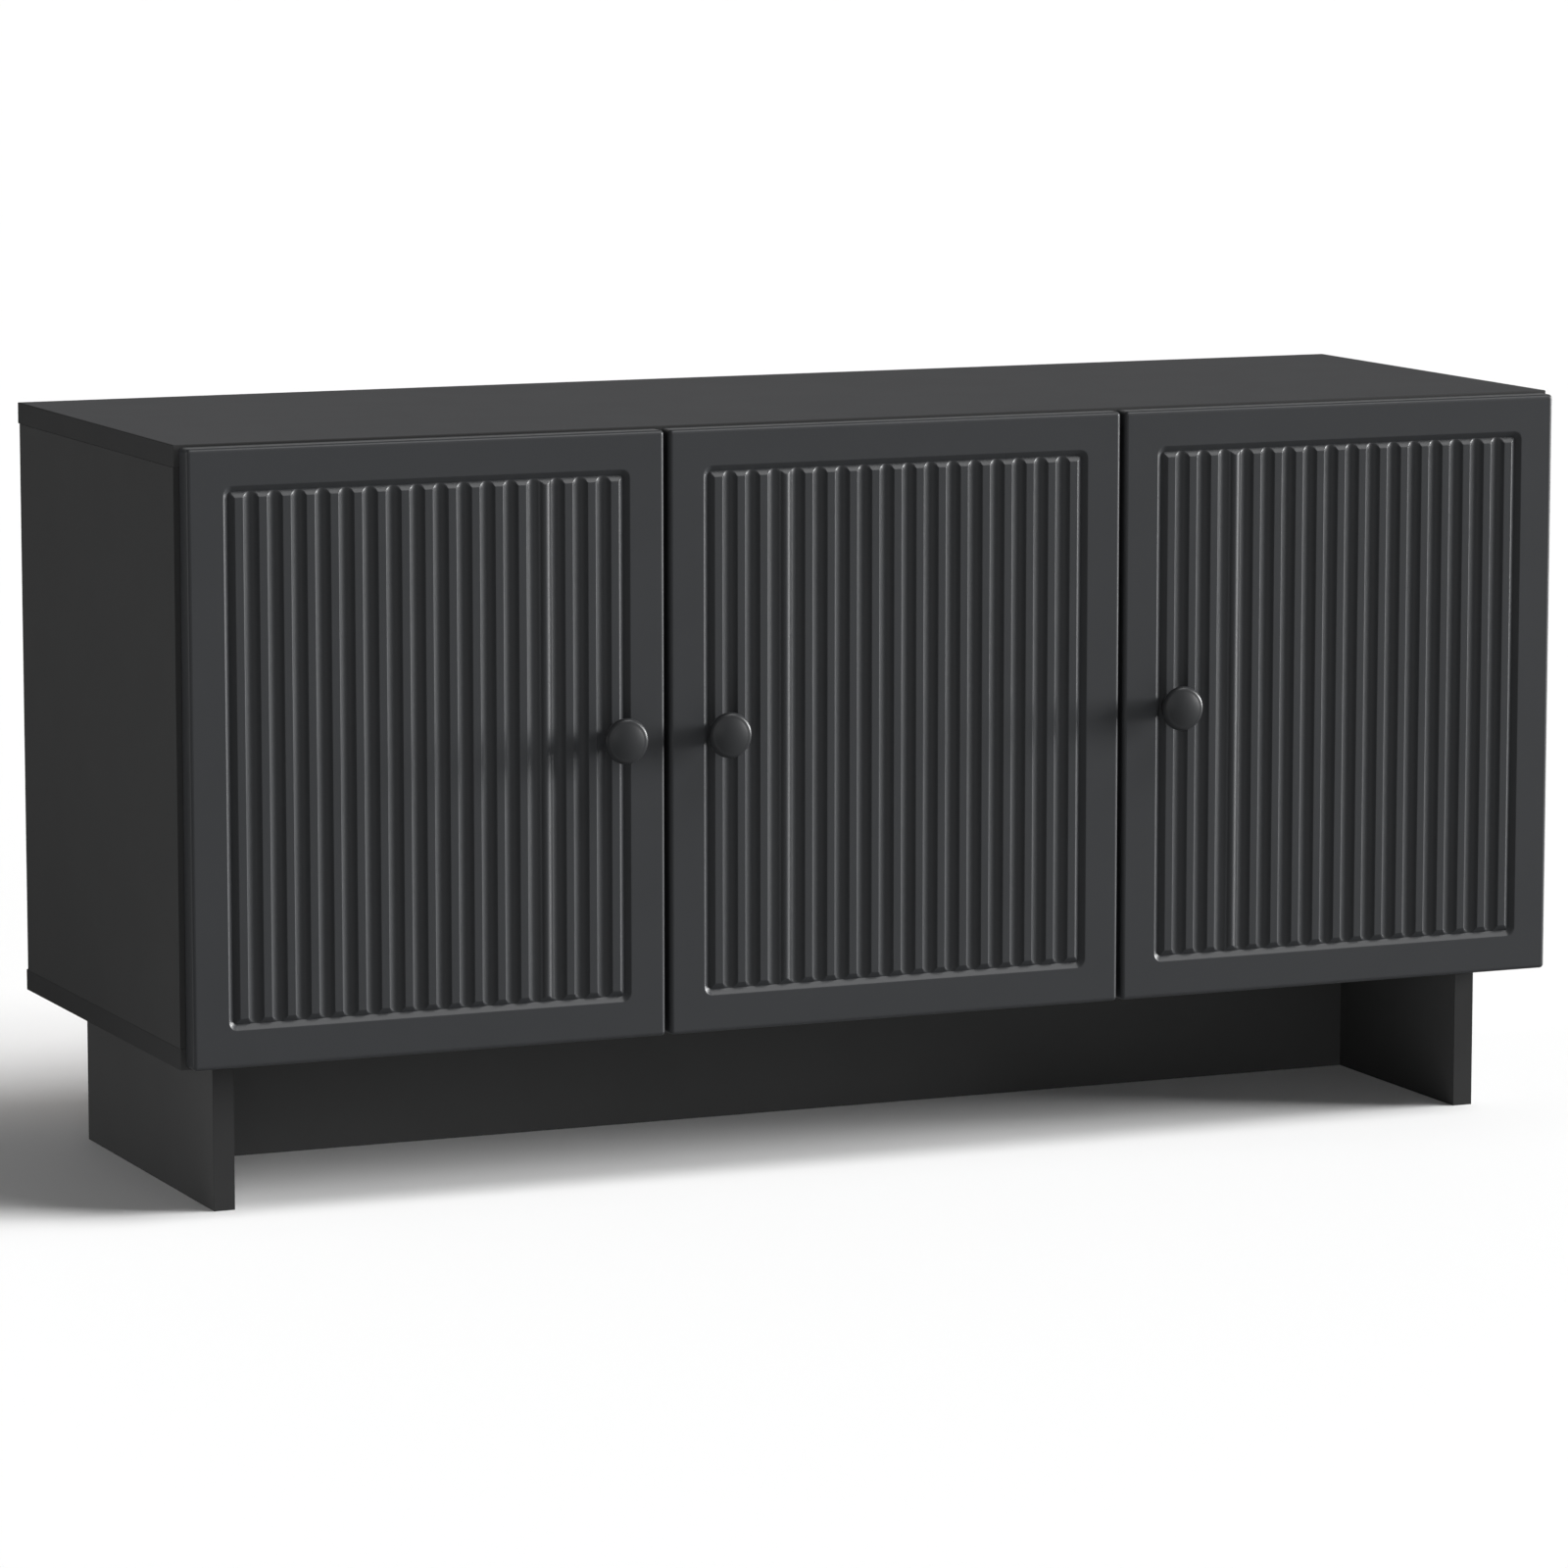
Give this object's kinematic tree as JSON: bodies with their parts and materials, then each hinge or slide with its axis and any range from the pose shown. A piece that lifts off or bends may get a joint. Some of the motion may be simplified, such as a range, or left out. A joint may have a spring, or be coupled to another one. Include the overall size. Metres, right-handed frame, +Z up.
{
  "type": "sideboard",
  "caption": "Low sideboard with fluted hinged doors, round knobs, inner shelves and a recessed board plinth.",
  "frame": {"origin": "centre of the whole footprint, knobs included, on the floor", "axes": "+X along the length to the right, +Y to the back (the doors face -Y), +Z up"},
  "size_m": [1.04, 0.3866, 0.527],
  "materials": {
    "faced_board": "matte anthracite melamine face with a fine wood-pore emboss, on chipboard",
    "top_board": "matte anthracite melamine face, darker edge band",
    "plinth_board": "matte anthracite melamine face",
    "door_foil": "matte anthracite foil over a milled fibreboard door",
    "knob_lacquer": "satin anthracite lacquer",
    "hardboard": "raw brown hardboard outside, anthracite paint inside",
    "nickel_steel": "nickel-plated pressed steel",
    "zinc_steel": "bright zinc plating",
    "zinc_casting": "zinc die casting",
    "beech": "fluted beech dowel",
    "soft_pad": "clear soft pad"
  },
  "bodies": {
    "carcass": {"top_panel": "top_board", "bottom_panel": "top_board", "left_side": "faced_board", "right_side": "faced_board", "divider": "faced_board", "wide_shelf": "faced_board", "narrow_shelf": "faced_board", "shelf_pins": "zinc_steel", "wide_back": "hardboard", "narrow_back": "hardboard", "back_nails": "zinc_steel", "plinth_left": "plinth_board", "plinth_right": "plinth_board", "plinth_rail": "plinth_board", "cam_locks": "zinc_casting", "cam_bolts": "zinc_steel", "dowels": "beech", "left_hinge_arms": "nickel_steel", "left_hinge_plates": "nickel_steel", "left_plate_screws": "zinc_steel", "left_arm_screws": "zinc_steel", "middle_hinge_arms": "nickel_steel", "middle_hinge_plates": "nickel_steel", "middle_plate_screws": "zinc_steel", "middle_arm_screws": "zinc_steel", "right_hinge_arms": "nickel_steel", "right_hinge_plates": "nickel_steel", "right_plate_screws": "zinc_steel", "right_arm_screws": "zinc_steel"},
    "left_door_leaf": {"left_door": "door_foil", "left_knob": "knob_lacquer", "left_knob_screw": "zinc_steel", "left_bumpers": "soft_pad", "left_hinge_cups": "nickel_steel", "left_cup_screws": "zinc_steel"},
    "left_links": {"left_hinge_links": "nickel_steel"},
    "middle_door_leaf": {"middle_door": "door_foil", "middle_knob": "knob_lacquer", "middle_knob_screw": "zinc_steel", "middle_bumpers": "soft_pad", "middle_hinge_cups": "nickel_steel", "middle_cup_screws": "zinc_steel"},
    "middle_links": {"middle_hinge_links": "nickel_steel"},
    "right_door_leaf": {"right_door": "door_foil", "right_knob": "knob_lacquer", "right_knob_screw": "zinc_steel", "right_bumpers": "soft_pad", "right_hinge_cups": "nickel_steel", "right_cup_screws": "zinc_steel"},
    "right_links": {"right_hinge_links": "nickel_steel"}
  },
  "joints": [
    {"name": "left_door_swing", "type": "hinge", "parent": "carcass", "child": "left_door_leaf", "pos_m": [-0.5165, -0.16875, 0.3165], "axis": [0, 0, -1], "range_deg": [0, 95]},
    {"name": "left_link_fold", "type": "hinge", "parent": "carcass", "child": "left_links", "pos_m": [-0.5017, -0.15795, 0.3165], "axis": [0, 0, -1], "range_deg": [0, 111.5]},
    {"name": "middle_door_swing", "type": "hinge", "parent": "carcass", "child": "middle_door_leaf", "pos_m": [0.171, -0.16875, 0.3165], "axis": [0, 0, 1], "range_deg": [0, 95]},
    {"name": "middle_link_fold", "type": "hinge", "parent": "carcass", "child": "middle_links", "pos_m": [0.1562, -0.15795, 0.3165], "axis": [0, 0, 1], "range_deg": [0, 111.5]},
    {"name": "right_door_swing", "type": "hinge", "parent": "carcass", "child": "right_door_leaf", "pos_m": [0.5165, -0.16875, 0.3165], "axis": [0, 0, 1], "range_deg": [0, 95]},
    {"name": "right_link_fold", "type": "hinge", "parent": "carcass", "child": "right_links", "pos_m": [0.5017, -0.15795, 0.3165], "axis": [0, 0, 1], "range_deg": [0, 111.5]}
  ],
  "couplings": [
    {"joint": "left_link_fold", "follows": "left_door_swing", "ratio": 1.17},
    {"joint": "middle_link_fold", "follows": "middle_door_swing", "ratio": 1.17},
    {"joint": "right_link_fold", "follows": "right_door_swing", "ratio": 1.17}
  ]
}
